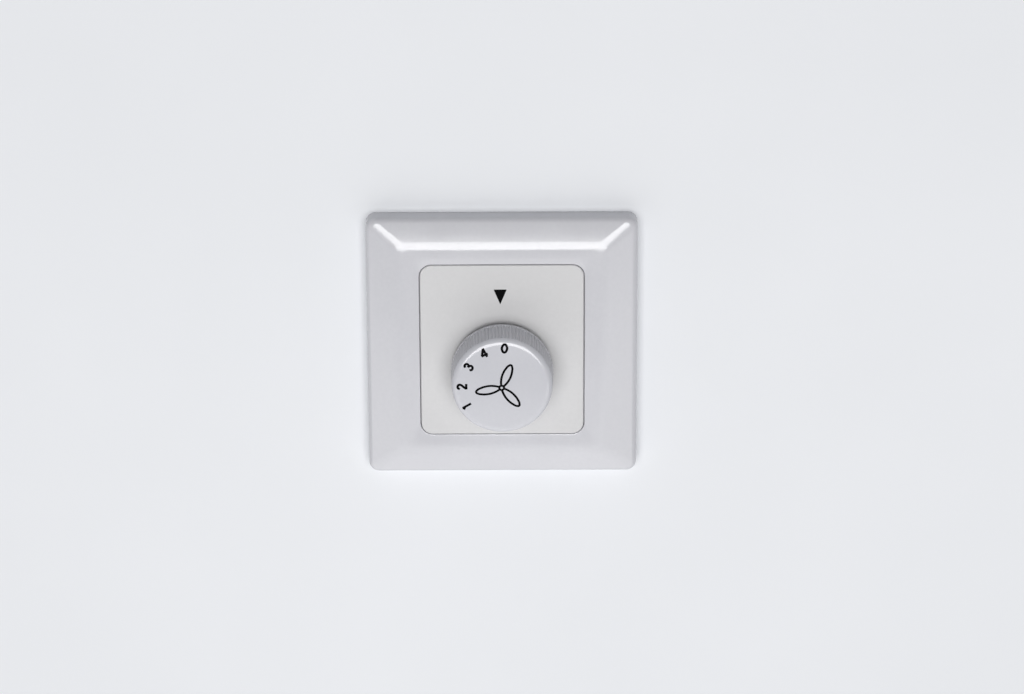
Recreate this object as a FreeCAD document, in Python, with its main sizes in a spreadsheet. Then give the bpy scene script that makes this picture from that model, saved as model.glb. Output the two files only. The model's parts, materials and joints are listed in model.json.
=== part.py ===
import FreeCAD, Part
import math
import os
from types import SimpleNamespace

import Sketcher

V = FreeCAD.Vector

# Driving dimensions in millimetres and degrees. Pieces are drawn lying on their backs:
# x to the right, y up the wall, z out into the room, with z = 0 on the face of the wall.
DIMENSIONS = {
    # cover frame
    "frame_side": 82.0,
    "frame_corner": 3.0,
    "frame_height": 9.6,
    "frame_wall": 2.0,
    "rim_height": 6.6,
    "rim_round": 2.1,
    "ridge_drop": 0.55,
    "ridge_steps": 3,
    "ridge_corner": 2.6,
    "flat_margin": 5.7,
    "opening_width": 50.0,
    "opening_height": 55.0,
    "opening_corner": 3.8,
    "lip_round": 0.3,
    "collar_wall": 1.8,
    "collar_depth": 5.0,
    "ledge_width": 2.0,
    # centre plate and its nut
    "plate_gap": 0.25,
    "plate_foot_gap": 0.06,
    "plate_recess": 0.1,
    "plate_thick": 2.3,
    "plate_round": 0.4,
    "tube_radius": 8.5,
    "peg_radius": 1.4,
    "peg_across": 17.0,
    "peg_up": 17.0,
    "nut_flats": 14.0,
    "nut_thick": 2.6,
    # knob
    "shaft_drop": 6.1,
    "knob_gap": 2.7,
    "knob_height": 12.2,
    "knob_radius": 15.6,
    "knob_front_radius": 15.15,
    "knob_edge_round": 2.1,
    "knob_wall": 2.0,
    "knob_top": 1.8,
    "hub_radius": 5.2,
    "hub_gap": 0.6,
    "flute_count": 90,
    "flute_depth": 0.35,
    "flute_width": 0.88,
    "flute_start": 1.3,
    "flute_length": 9.3,
    "clip_thick": 0.45,
    "clip_width": 2.2,
    # spindle, its bearing and ring
    "spindle_radius": 3.0,
    "spindle_flat": 2.2,
    "spindle_reach": 8.3,
    "spindle_chamfer": 0.5,
    "neck_radius": 5.0,
    "neck_proud": 0.2,
    "flange_radius": 8.0,
    "flange_flats": 13.0,
    "flange_thick": 1.2,
    "ring_radius": 4.6,
    "ring_thick": 0.5,
    "ring_groove": 2.4,
    "ring_mouth": 3.4,
    "tail_radius": 2.0,
    "tail_length": 4.0,
    # support plate
    "support_clear": 3.5,
    "support_corner": 7.0,
    "support_thick": 1.2,
    "box_screw_spacing": 60.0,
    "slot_length": 7.0,
    "slot_width": 4.2,
    # housing
    "housing_side": 44.0,
    "housing_corner": 8.0,
    "cover_thick": 3.0,
    "housing_depth": 24.0,
    "chamber_radius": 13.5,
    "floor_thick": 7.0,
    "screw_radius": 1.45,
    "screw_head_radius": 2.7,
    "screw_head_height": 1.8,
    "screw_length": 13.0,
    "drive_slot": 0.8,
    "drive_depth": 0.9,
    "screw_upper_across": 18.6,
    "screw_upper_up": 4.0,
    "screw_lower_across": 17.2,
    "screw_lower_drop": 16.8,
    # detent and rotor
    "step_angle": 30.0,
    "steps": 4,
    "wheel_radius": 10.5,
    "wheel_thick": 2.9,
    "notch_radius": 1.1,
    "notch_centre": 10.9,
    "spring_thick": 0.4,
    "spring_width": 2.4,
    "spring_half_length": 5.6,
    "spring_centre": 11.8,
    "bump_radius": 0.9,
    "shelf_thick": 3.0,
    "rotor_radius": 9.5,
    "rotor_thick": 6.6,
    "lug_radius": 12.4,
    "lug_width": 3.4,
    "lug_thick": 4.5,
    "stop_width": 2.4,
    "stop_inner_radius": 10.2,
    "stake_radius": 0.8,
    "stake_centre": 4.9,
    "stake_height": 0.9,
    # contacts and terminals
    "strip_thick": 0.6,
    "strip_width": 2.0,
    "pad_radius": 1.6,
    "button_radius": 1.2,
    "button_height": 0.4,
    "contact_circle": 9.5,
    "common_inner": 4.2,
    "common_outer": 6.6,
    "wiper_angle": 150.0,
    "wiper_thick": 0.4,
    "wiper_disc": 6.4,
    "wiper_width": 2.6,
    "wiper_overhang": 0.9,
    "dome_radius": 0.8,
    "dome_height": 0.3,
    "clamp_pitch": 7.2,
    "clamp_width": 5.8,
    "clamp_length": 8.0,
    "clamp_height": 8.2,
    "clamp_base": 2.0,
    "clamp_wall": 0.8,
    "clamp_start": 10.0,
    "clamp_lift": 3.2,
    "strip_entry": 5.5,
    "wire_radius": 1.6,
    "terminal_screw_radius": 1.5,
    "terminal_head_radius": 2.5,
    "terminal_head_height": 2.0,
    # spreading claws
    "claw_across": 20.5,
    "claw_drop": 10.0,
    "claw_screw_radius": 1.6,
    "claw_head_radius": 2.9,
    "claw_head_height": 2.0,
    "claw_nut_side": 5.6,
    "claw_nut_thick": 2.6,
    "claw_thick": 1.0,
    "claw_width": 8.4,
    "claw_reach": 4.0,
    "claw_leg": 8.0,
    "claw_lean": 1.2,
    "claw_tip": 1.2,
    "claw_travel": 4.0,
    "claw_start": 17.0,
    "ramp_angle": 30.0,
    "channel_floor": 17.2,
    # clearances
    "running": 0.05,
    "slide": 0.2,
    "free": 0.1,
}


class Size:
    """A number together with the spreadsheet formula that gives it."""

    def __init__(self, value, formula):
        self.value = value
        self.formula = formula

    def __add__(self, other):
        other = as_size(other)
        return Size(self.value + other.value, f"({self.formula} + {other.formula})")

    def __sub__(self, other):
        other = as_size(other)
        return Size(self.value - other.value, f"({self.formula} - {other.formula})")

    def __mul__(self, other):
        other = as_size(other)
        return Size(self.value * other.value, f"({self.formula} * {other.formula})")

    def __truediv__(self, other):
        other = as_size(other)
        return Size(self.value / other.value, f"({self.formula} / {other.formula})")

    def __neg__(self):
        return Size(-self.value, f"(0 - {self.formula})")

    def __rmul__(self, other):
        return as_size(other) * self

    def __radd__(self, other):
        return as_size(other) + self

    def __rsub__(self, other):
        return as_size(other) - self


def as_size(number):
    if isinstance(number, Size):
        return number
    return Size(number, str(number))


def in_order(first, second):
    """Two sizes with the smaller one first."""
    return (first, second) if first.value <= second.value else (second, first)


def cosine(angle):
    return Size(math.cos(math.radians(angle.value)), f"cos({angle.formula})")


def sine(angle):
    return Size(math.sin(math.radians(angle.value)), f"sin({angle.formula})")


def write_sheet():
    """Put the driving dimensions in a spreadsheet and return them as sizes."""
    sheet = doc.addObject("Spreadsheet::Sheet", "Sizes")
    for row, (alias, value) in enumerate(DIMENSIONS.items(), start=1):
        sheet.set(f"A{row}", alias)
        sheet.set(f"B{row}", str(value))
        sheet.setAlias(f"B{row}", alias)
    doc.recompute()
    return SimpleNamespace(**{a: Size(v, f"Sizes.{a}") for a, v in DIMENSIONS.items()})


doc = FreeCAD.newDocument("fan_speed_switch")
S = write_sheet()
PIECES = []

# Levels above the face of the wall, from the room inwards
PLATE_FRONT = S.frame_height - S.plate_recess
PLATE_BACK = PLATE_FRONT - S.plate_thick
KNOB_BACK = PLATE_FRONT + S.knob_gap
KNOB_INSIDE = KNOB_BACK + S.knob_height - S.knob_top
NECK_END = PLATE_FRONT + S.nut_thick + S.neck_proud
RING_BACK = NECK_END + S.free
RING_FRONT = RING_BACK + S.ring_thick
HUB_BACK = RING_FRONT + S.hub_gap
COVER_BACK = -S.cover_thick
WHEEL_FRONT = COVER_BACK - S.free
WHEEL_BACK = WHEEL_FRONT - S.wheel_thick
ROTOR_BACK = WHEEL_BACK - S.rotor_thick
HOUSING_BACK = -S.housing_depth
FLOOR = HOUSING_BACK + S.floor_thick
STRIP_TOP = FLOOR + S.strip_thick
CLAMP_BACK = HOUSING_BACK + S.clamp_lift + S.slide + S.terminal_head_height - S.clamp_base
CLAMPS = DIMENSIONS["steps"] + 1
HUB_FLAT = S.spindle_flat + S.clip_thick + 2 * S.running
BORE = S.spindle_radius + S.running


# Drawing helpers

def bind(thing, **sizes):
    """Tie properties to sizes; a double underscore in a name stands for a dot."""
    for name, size in sizes.items():
        thing.setExpression(name.replace("__", "."), as_size(size).formula)
    return thing


def stand(piece, label, up=0, across=0):
    """Name a finished piece, and turn it from the bench up on to the wall."""
    piece.Label = label
    piece.Placement = FreeCAD.Placement(V(), FreeCAD.Rotation(V(1, 0, 0), 90))
    bind(piece, Placement__Base__x=across, Placement__Base__z=up)
    PIECES.append(piece)


def box(name, x, y, z):
    """Box between two sizes along each of x, y and z."""
    solid = doc.addObject("Part::Box", name)
    starts = [as_size(pair[0]) for pair in (x, y, z)]
    spans = [as_size(pair[1]) - pair[0] for pair in (x, y, z)]
    bind(solid, Length=spans[0], Width=spans[1], Height=spans[2])
    bind(solid, Placement__Base__x=starts[0], Placement__Base__y=starts[1])
    return bind(solid, Placement__Base__z=starts[2])


def cylinder(name, radius, z, x=0, y=0):
    """Round bar along z."""
    solid = doc.addObject("Part::Cylinder", name)
    bind(solid, Radius=radius, Height=as_size(z[1]) - z[0])
    return bind(solid, Placement__Base__x=x, Placement__Base__y=y, Placement__Base__z=z[0])


def bar(name, angle, along, width, z):
    """Box that lies along a radius at an angle, counted anticlockwise from x."""
    solid = doc.addObject("Part::Box", name)
    bind(solid, Length=as_size(along[1]) - along[0], Width=width, Height=as_size(z[1]) - z[0])
    solid.Placement = FreeCAD.Placement(V(), FreeCAD.Rotation(V(0, 0, 1), angle.value))
    half = as_size(width) / 2
    bind(
        solid,
        Placement__Rotation__Angle=angle,
        Placement__Base__x=along[0] * cosine(angle) + half * sine(angle),
        Placement__Base__y=along[0] * sine(angle) - half * cosine(angle),
        Placement__Base__z=z[0],
    )
    return solid


def join(name, *solids):
    union = doc.addObject("Part::MultiFuse", name)
    union.Shapes = list(solids)
    return union


def cut(name, base, *tools):
    result = doc.addObject("Part::Cut", name)
    result.Base = base
    result.Tool = tools[0] if len(tools) == 1 else join(name + "_tools", *tools)
    return result


def group(name, solids):
    """Separate solids kept together as one node."""
    compound = doc.addObject("Part::Compound", name)
    compound.Links = list(solids)
    return compound


def new_sketch(body, name, role, level=0):
    sketch = body.newObject("Sketcher::SketchObject", name)
    plane = next(item for item in body.Origin.OriginFeatures if item.Role == role)
    sketch.AttachmentSupport = [(plane, "")]
    sketch.MapMode = "FlatFace"
    return bind(sketch, AttachmentOffset__Base__z=level)


def constrain(sketch, kind, *places, size):
    """Add a dimension to a sketch and tie it to a size."""
    index = sketch.addConstraint(Sketcher.Constraint(kind, *places, size.value))
    sketch.setExpression(f"Constraints[{index}]", size.formula)


def hold(sketch, kind, axis, line, size):
    """Set one coordinate of a line's start."""
    size = as_size(size)
    if size.value == 0:
        sketch.addConstraint(Sketcher.Constraint("PointOnObject", line, 1, axis))
    elif size.value > 0:
        constrain(sketch, kind, -1, 1, line, 1, size=size)
    else:
        constrain(sketch, kind, line, 1, -1, 1, size=-size)


def add_outline(sketch, points):
    """Closed outline of straight lines through points, each a pair of sizes."""
    spots = [V(as_size(x).value, as_size(y).value, 0) for x, y in points]
    first = sketch.GeometryCount
    count = len(spots)
    for number in range(count):
        sketch.addGeometry(Part.LineSegment(spots[number], spots[(number + 1) % count]))
    for number in range(count):
        following = first + (number + 1) % count
        sketch.addConstraint(Sketcher.Constraint("Coincident", first + number, 2, following, 1))
    for number, (x, y) in enumerate(points):
        hold(sketch, "DistanceX", -2, first + number, x)
        hold(sketch, "DistanceY", -1, first + number, y)
    return sketch


def add_rectangle(sketch, width, height, corner):
    """Rectangle with round corners, centred on the sketch's origin."""
    x, y, r = width.value / 2, height.value / 2, corner.value
    first = sketch.GeometryCount
    sides = [
        (V(r - x, -y, 0), V(x - r, -y, 0)),
        (V(x, r - y, 0), V(x, y - r, 0)),
        (V(x - r, y, 0), V(r - x, y, 0)),
        (V(-x, y - r, 0), V(-x, r - y, 0)),
    ]
    centres = [V(x - r, r - y, 0), V(x - r, y - r, 0), V(r - x, y - r, 0), V(r - x, r - y, 0)]
    for start, end in sides:
        sketch.addGeometry(Part.LineSegment(start, end))
    for quarter, centre in enumerate(centres):
        turn = math.pi / 2 * (quarter - 1)
        circle = Part.Circle(centre, V(0, 0, 1), r)
        sketch.addGeometry(Part.ArcOfCircle(circle, turn, turn + math.pi / 2))
    for quarter in range(4):
        arc = first + 4 + quarter
        following = first + (quarter + 1) % 4
        sketch.addConstraint(Sketcher.Constraint("Tangent", first + quarter, 2, arc, 1))
        sketch.addConstraint(Sketcher.Constraint("Tangent", arc, 2, following, 1))
    for quarter in range(3):
        sketch.addConstraint(Sketcher.Constraint("Equal", first + 4 + quarter, first + 5 + quarter))
    sketch.addConstraint(Sketcher.Constraint("Horizontal", first))
    sketch.addConstraint(Sketcher.Constraint("Vertical", first + 1))
    sketch.addConstraint(Sketcher.Constraint("Symmetric", first + 5, 3, first + 7, 3, -1, 1))
    constrain(sketch, "Radius", first + 4, size=corner)
    constrain(sketch, "DistanceX", first + 3, 1, first + 1, 1, size=width)
    constrain(sketch, "DistanceY", first, 1, first + 2, 1, size=height)
    return sketch


def add_circle(sketch, radius, x=0, y=0):
    x, y = as_size(x), as_size(y)
    index = sketch.addGeometry(Part.Circle(V(x.value, y.value, 0), V(0, 0, 1), radius.value))
    constrain(sketch, "Radius", index, size=radius)
    for kind, axis, size in (("DistanceX", -2, x), ("DistanceY", -1, y)):
        if size.value == 0:
            sketch.addConstraint(Sketcher.Constraint("PointOnObject", index, 3, axis))
        elif size.value > 0:
            constrain(sketch, kind, -1, 1, index, 3, size=size)
        else:
            constrain(sketch, kind, index, 3, -1, 1, size=-size)
    return sketch


def extrude(body, kind, sketch, length, backwards=False):
    """Pad or Pocket of a sketch. A Pad goes along +z and a Pocket along -z, unless backwards."""
    feature = body.newObject("PartDesign::" + kind, sketch.Name + "_" + kind.lower())
    feature.Profile = sketch
    feature.Reversed = backwards
    sketch.Visibility = False
    bind(feature, Length=length)
    doc.recompute()
    return feature


def soften(body, name, radius, level, area=None):
    """Fillet all the body's edges that lie at a level, or those of them inside a (width, height) area."""
    base = body.Tip
    near = 0.001
    edges = []
    for number, edge in enumerate(base.Shape.Edges, start=1):
        extent = edge.BoundBox
        if abs(extent.ZMin - level.value) > near or abs(extent.ZMax - level.value) > near:
            continue
        if area and (extent.XMax > area[0].value / 2 + near or extent.YMax > area[1].value / 2 + near):
            continue
        if area and (extent.XMin < -area[0].value / 2 - near or extent.YMin < -area[1].value / 2 - near):
            continue
        edges.append(f"Edge{number}")
    fillet = body.newObject("PartDesign::Fillet", name)
    fillet.Base = (base, edges)
    bind(fillet, Radius=radius)
    doc.recompute()


def rounded_block(name, width, height, corner, z):
    body = doc.addObject("PartDesign::Body", name)
    sketch = add_rectangle(new_sketch(body, name + "_plan", "XY_Plane", z[0]), width, height, corner)
    extrude(body, "Pad", sketch, as_size(z[1]) - z[0])
    return body


# Cover frame and centre plate

def bevel_half(half_side, half_ridge, level):
    """Half size of the frame's hollow at a level, so that a wall's thickness is left under the bevel."""
    slope = (S.frame_height - S.rim_height) / (half_side - half_ridge)
    return half_side - (level + S.frame_wall - S.rim_height) / slope


def cover_frame():
    body = doc.addObject("PartDesign::Body", "cover_frame")
    half = S.frame_side / 2
    ridge_width = S.opening_width + 2 * S.flat_margin
    ridge_height = S.opening_height + 2 * S.flat_margin
    steps = int(S.ridge_steps.value)

    def plan(name, level, width, height, corner):
        return add_rectangle(new_sketch(body, name, "XY_Plane", level), width, height, corner)

    def ridge_plan(name, step):
        """A plan on the rounded ridge, from step 0 where it runs into the flat to the last on the bevel."""
        share = as_size(step) / S.ridge_steps
        lean = (2 * share - 1) * S.ridge_drop / (S.frame_height - S.rim_height)
        return plan(
            name,
            S.frame_height - S.ridge_drop * share * share,
            ridge_width + lean * (S.frame_side - ridge_width),
            ridge_height + lean * (S.frame_side - ridge_height),
            S.ridge_corner + lean * (S.frame_corner - S.ridge_corner),
        )

    extrude(body, "Pad", plan("rim", 0, S.frame_side, S.frame_side, S.frame_corner), S.rim_height)
    bevels = body.newObject("PartDesign::AdditiveLoft", "bevels")
    bevels.Ruled = True
    bevels.Profile = plan("bevel_foot", S.rim_height, S.frame_side, S.frame_side, S.frame_corner)
    bevels.Sections = [ridge_plan("bevel_top", steps)]
    doc.recompute()
    soften(body, "rim_fillet", S.rim_round, S.rim_height)
    ridge = body.newObject("PartDesign::AdditiveLoft", "ridge")
    ridge.Profile = ridge_plan("ridge_foot", steps)
    ridge.Sections = [ridge_plan(f"ridge_{step}", step) for step in reversed(range(steps))]
    doc.recompute()

    opening = plan("opening", S.frame_height, S.opening_width, S.opening_height, S.opening_corner)
    extrude(body, "Pocket", opening, S.frame_height - PLATE_BACK)
    soften(body, "lip_fillet", S.lip_round, S.frame_height, (S.opening_width, S.opening_height))
    inner_corner = S.opening_corner - S.ledge_width
    inner_width = S.opening_width - 2 * S.ledge_width
    inner_height = S.opening_height - 2 * S.ledge_width
    window = plan("window", S.frame_height, inner_width, inner_height, inner_corner)
    extrude(body, "Pocket", window, S.frame_height)

    hollow = S.frame_side - 2 * S.frame_wall
    collar_back = S.frame_height - S.collar_depth
    extrude(body, "Pocket", plan("hollow", 0, hollow, hollow, S.frame_corner), collar_back, True)
    collar_width = S.opening_width + 2 * S.collar_wall
    collar_height = S.opening_height + 2 * S.collar_wall
    collar_corner = S.opening_corner + S.collar_wall
    top = S.frame_height - S.frame_wall
    middle = (collar_back + top) / 2
    for name, start, end in (("lower_step", collar_back, middle), ("upper_step", middle, top)):
        sketch = plan(
            name,
            start,
            2 * bevel_half(half, ridge_width / 2, end),
            2 * bevel_half(half, ridge_height / 2, end),
            S.frame_corner,
        )
        add_rectangle(sketch, collar_width, collar_height, collar_corner)
        extrude(body, "Pocket", sketch, end - start, True)
    stand(body, "cover_frame")


def centre_plate():
    body = doc.addObject("PartDesign::Body", "centre_plate")
    slab = new_sketch(body, "slab", "XY_Plane", PLATE_BACK)
    width = S.opening_width - 2 * S.plate_gap
    height = S.opening_height - S.plate_gap - S.plate_foot_gap
    bind(slab, AttachmentOffset__Base__y=(S.plate_foot_gap - S.plate_gap) / 2)
    add_rectangle(slab, width, height, S.opening_corner - S.plate_gap)
    extrude(body, "Pad", slab, S.plate_thick)
    soften(body, "plate_fillet", S.plate_round, PLATE_FRONT)
    tube = add_circle(new_sketch(body, "tube", "XY_Plane", PLATE_BACK), S.tube_radius, 0, -S.shaft_drop)
    extrude(body, "Pad", tube, PLATE_BACK - S.support_thick, True)
    pegs = new_sketch(body, "pegs", "XY_Plane", PLATE_BACK)
    for side in (-1, 1):
        add_circle(pegs, S.peg_radius, side * S.peg_across, S.peg_up)
    extrude(body, "Pad", pegs, PLATE_BACK, True)
    hole = new_sketch(body, "hole", "XY_Plane", PLATE_FRONT)
    add_circle(hole, S.neck_radius + S.slide, 0, -S.shaft_drop)
    extrude(body, "Pocket", hole, PLATE_FRONT)
    stand(body, "centre_plate")


def plate_nut():
    prism = doc.addObject("Part::Prism", "nut_hexagon")
    prism.Polygon = 6
    bind(prism, Circumradius=S.nut_flats / Size(math.sqrt(3), "sqrt(3)"), Height=S.nut_thick)
    bind(prism, Placement__Base__z=PLATE_FRONT)
    bore = cylinder("nut_bore", S.neck_radius + S.running, (PLATE_FRONT, NECK_END))
    stand(cut("plate_nut", prism, bore), "plate_nut", -S.shaft_drop)


# Knob

def speed_knob():
    body = doc.addObject("PartDesign::Body", "speed_knob")
    inside = S.knob_front_radius - S.knob_wall
    front = KNOB_BACK + S.knob_height
    profile = add_outline(
        new_sketch(body, "profile", "XZ_Plane"),
        [
            (inside, KNOB_BACK),
            (S.knob_radius - S.flute_depth, KNOB_BACK),
            (S.knob_radius, KNOB_BACK + S.flute_depth),
            (S.knob_front_radius, front),
            (0, front),
            (0, HUB_BACK),
            (S.hub_radius, HUB_BACK),
            (S.hub_radius, KNOB_INSIDE),
            (inside, KNOB_INSIDE),
        ],
    )
    turned = body.newObject("PartDesign::Revolution", "turned")
    turned.Profile = profile
    turned.ReferenceAxis = (profile, ["V_Axis"])
    turned.Angle = 360
    doc.recompute()
    soften(body, "face_fillet", S.knob_edge_round, front)

    bore = new_sketch(body, "bore", "XY_Plane", HUB_BACK)
    add_circle(bore, BORE)
    extrude(body, "Pocket", bore, S.spindle_reach + S.free, True)
    key = new_sketch(body, "key", "XY_Plane", HUB_BACK)
    far = BORE + S.running
    add_outline(key, [(HUB_FLAT, -BORE), (far, -BORE), (far, BORE), (HUB_FLAT, BORE)])
    extrude(body, "Pad", key, S.spindle_reach + S.free)

    level = S.flute_start + S.flute_length
    taper = (S.knob_radius - S.knob_front_radius) / S.knob_height
    lean = Size(math.degrees(math.atan(taper.value)), f"atan({taper.formula})")
    flute = new_sketch(body, "flute", "XY_Plane", KNOB_BACK + level)
    flute.AttachmentOffset = FreeCAD.Placement(V(), FreeCAD.Rotation(V(0, -1, 0), lean.value))
    bind(flute, AttachmentOffset__Base__z=KNOB_BACK + level, AttachmentOffset__Rotation__Angle=lean)
    surface = S.knob_radius - taper * level
    outside = surface + S.flute_depth
    add_outline(
        flute,
        [(surface - S.flute_depth, 0), (outside, -S.flute_width), (outside, S.flute_width)],
    )
    groove = extrude(body, "Pocket", flute, S.flute_length)
    flutes = body.newObject("PartDesign::PolarPattern", "flutes")
    flutes.Originals = [groove]
    flutes.Axis = (next(item for item in body.Origin.OriginFeatures if item.Role == "Z_Axis"), [""])
    flutes.Angle = 360
    bind(flutes, Occurrences=S.flute_count)
    body.Tip = flutes
    stand(body, "speed_knob", -S.shaft_drop)


def knob_clip():
    """Leaf between the spindle's flat and the knob's hub, hooked over the hub's end."""
    half = S.clip_width / 2
    inner = S.spindle_flat + S.running
    outer = inner + S.clip_thick
    back = HUB_BACK - S.clip_thick
    leaf = box("clip_leaf", (inner, outer), (-half, half), (back, HUB_BACK + S.spindle_reach))
    hook = box("clip_hook", (inner, S.hub_radius), (-half, half), (back, HUB_BACK))
    stand(join("knob_clip", leaf, hook), "knob_clip", -S.shaft_drop)


# Spindle and its bearing

def spindle():
    radius = S.spindle_radius
    end = HUB_BACK + S.spindle_reach
    tail_top = FLOOR + S.slide
    rod = cylinder("spindle_rod", radius, (tail_top, end - S.spindle_chamfer))
    tip = doc.addObject("Part::Cone", "spindle_tip")
    bind(tip, Radius1=radius, Radius2=radius - S.spindle_chamfer, Height=S.spindle_chamfer)
    bind(tip, Placement__Base__z=end - S.spindle_chamfer)
    tail = cylinder("spindle_tail", S.tail_radius, (FLOOR - S.tail_length, tail_top))
    past = radius + S.slide
    flats = [
        box("front_flat", (S.spindle_flat, past), (-past, past), (RING_FRONT, end + S.slide)),
        box("rear_flat", (S.spindle_flat, past), (-past, past), (tail_top, WHEEL_FRONT)),
    ]
    groove = cut(
        "ring_groove",
        cylinder("groove_outside", past, (RING_BACK, RING_FRONT)),
        cylinder("groove_inside", S.ring_groove, (RING_BACK, RING_FRONT)),
    )
    blank = join("spindle_blank", rod, tip, tail)
    stand(cut("spindle", blank, groove, *flats), "spindle", -S.shaft_drop)


def retaining_ring():
    z = (RING_BACK, RING_FRONT)
    mouth = S.ring_mouth / 2
    ring = cut(
        "retaining_ring",
        cylinder("ring_outside", S.ring_radius, z),
        cylinder("ring_inside", S.ring_groove + S.running, z),
        box("ring_gap", (-S.ring_radius, 0), (-mouth, mouth), z),
    )
    stand(ring, "retaining_ring", -S.shaft_drop)


def flanged(name, grow):
    """Flange with two flats, or the recess for it when grown."""
    radius = S.flange_radius + grow
    half = S.flange_flats / 2 + grow
    z = (-S.flange_thick, 0)
    common = doc.addObject("Part::Common", name)
    common.Base = cylinder(name + "_round", radius, z)
    common.Tool = box(name + "_flats", (-half, half), (-radius, radius), z)
    return common


def threaded_neck():
    neck = join(
        "neck_blank",
        flanged("neck_flange", 0),
        cylinder("neck_stem", S.neck_radius, (-S.flange_thick, NECK_END)),
    )
    bore = cylinder("neck_bore", BORE, (-S.flange_thick, NECK_END))
    stand(cut("threaded_neck", neck, bore), "threaded_neck", -S.shaft_drop)


# Support plate and housing

def slot(name, x, y, upright):
    """Box screw slot through the support plate."""
    radius = S.slot_width / 2
    half = S.slot_length / 2 - radius
    z = (0, S.support_thick)
    along, across = (y, x) if upright else (x, y)
    straight = [(along - half, along + half), (across - radius, across + radius)]
    ends = [(along - half, across), (along + half, across)]
    if upright:
        straight.reverse()
        ends = [(end[1], end[0]) for end in ends]
    rounds = [cylinder(f"{name}_end", radius, z, *end) for end in ends]
    return join(name, box(name + "_middle", *straight, z), *rounds)


def screw_places():
    """Where the four housing screws stand."""
    return [
        (side * across, up)
        for side in (-1, 1)
        for across, up in (
            (S.screw_upper_across, S.screw_upper_up),
            (S.screw_lower_across, -S.screw_lower_drop),
        )
    ]


def drilled(name, radius, z, places):
    return [cylinder(name, radius, z, x, y) for x, y in places]


CLAW_PLACES = [(-S.claw_across, -S.claw_drop), (S.claw_across, -S.claw_drop)]
PEG_PLACES = [(-S.peg_across, S.peg_up), (S.peg_across, S.peg_up)]


def support_plate():
    z = (0, S.support_thick)
    side = S.frame_side - 2 * (S.frame_wall + S.support_clear)
    blank = rounded_block("support_blank", side, side, S.support_corner, z)
    half = S.box_screw_spacing / 2
    none = as_size(0)
    slots = [slot("side_slot", way * half, none, False) for way in (-1, 1)]
    slots += [slot("end_slot", none, way * half, True) for way in (-1, 1)]
    holes = [cylinder("neck_hole", S.neck_radius + S.running, z, 0, -S.shaft_drop)]
    holes += drilled("screw_hole", S.screw_radius + S.free, z, screw_places())
    holes += drilled("claw_hole", S.claw_screw_radius + S.free, z, CLAW_PLACES)
    holes += drilled("peg_hole", S.peg_radius + S.free, z, PEG_PLACES)
    stand(cut("support_plate", blank, *slots, *holes), "support_plate")


def housing_cover():
    z = (COVER_BACK, 0)
    blank = rounded_block("cover_blank", S.housing_side, S.housing_side, S.housing_corner, z)
    recess = flanged("flange_recess", S.free)
    bind(recess, Placement__Base__y=-S.shaft_drop)
    holes = [cylinder("spindle_hole", BORE + S.slide, z, 0, -S.shaft_drop)]
    holes += drilled("cover_screw_hole", S.screw_radius + S.free, z, screw_places())
    holes += drilled("cover_claw_hole", S.claw_screw_radius + S.slide, z, CLAW_PLACES)
    stand(cut("housing_cover", blank, recess, *holes), "housing_cover")


def clamp_across(number):
    """Where a terminal stands in the row: 0 is the common one, then the speeds from the highest."""
    return (number - S.steps / 2) * S.clamp_pitch


def strip_route(number, grow, z):
    """Flat strip from a contact to its terminal, or the channel for it when grown."""
    half = S.strip_width / 2 + grow
    middle = clamp_across(number)
    if number == 0:
        contact = (-S.common_inner, -S.shaft_drop)
    else:
        angle = S.wiper_angle - number * S.step_angle
        contact = (S.contact_circle * cosine(angle), S.contact_circle * sine(angle) - S.shaft_drop)
    low, high = in_order(contact[0], middle)
    end = S.clamp_start + S.strip_entry
    upright = (contact[1] - half, end + grow)
    level = (contact[1] - half, contact[1] + half)
    pieces = [box("strip_upright", (middle - half, middle + half), upright, z)]
    if high.value - low.value > half.value:
        pieces.append(box("strip_level", (low - half, high + half), level, z))
    return pieces, contact


def stop_angles():
    """Angles of the two stops that the rotor's lug meets, just past both ends of its travel."""
    degrees = Size(math.degrees(1), "(180 / pi)")
    margin = ((S.lug_width + S.stop_width) / 2 + S.slide) / S.stop_inner_radius * degrees
    rest = S.wiper_angle + 90
    return rest + margin, rest - S.steps * S.step_angle - margin


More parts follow.
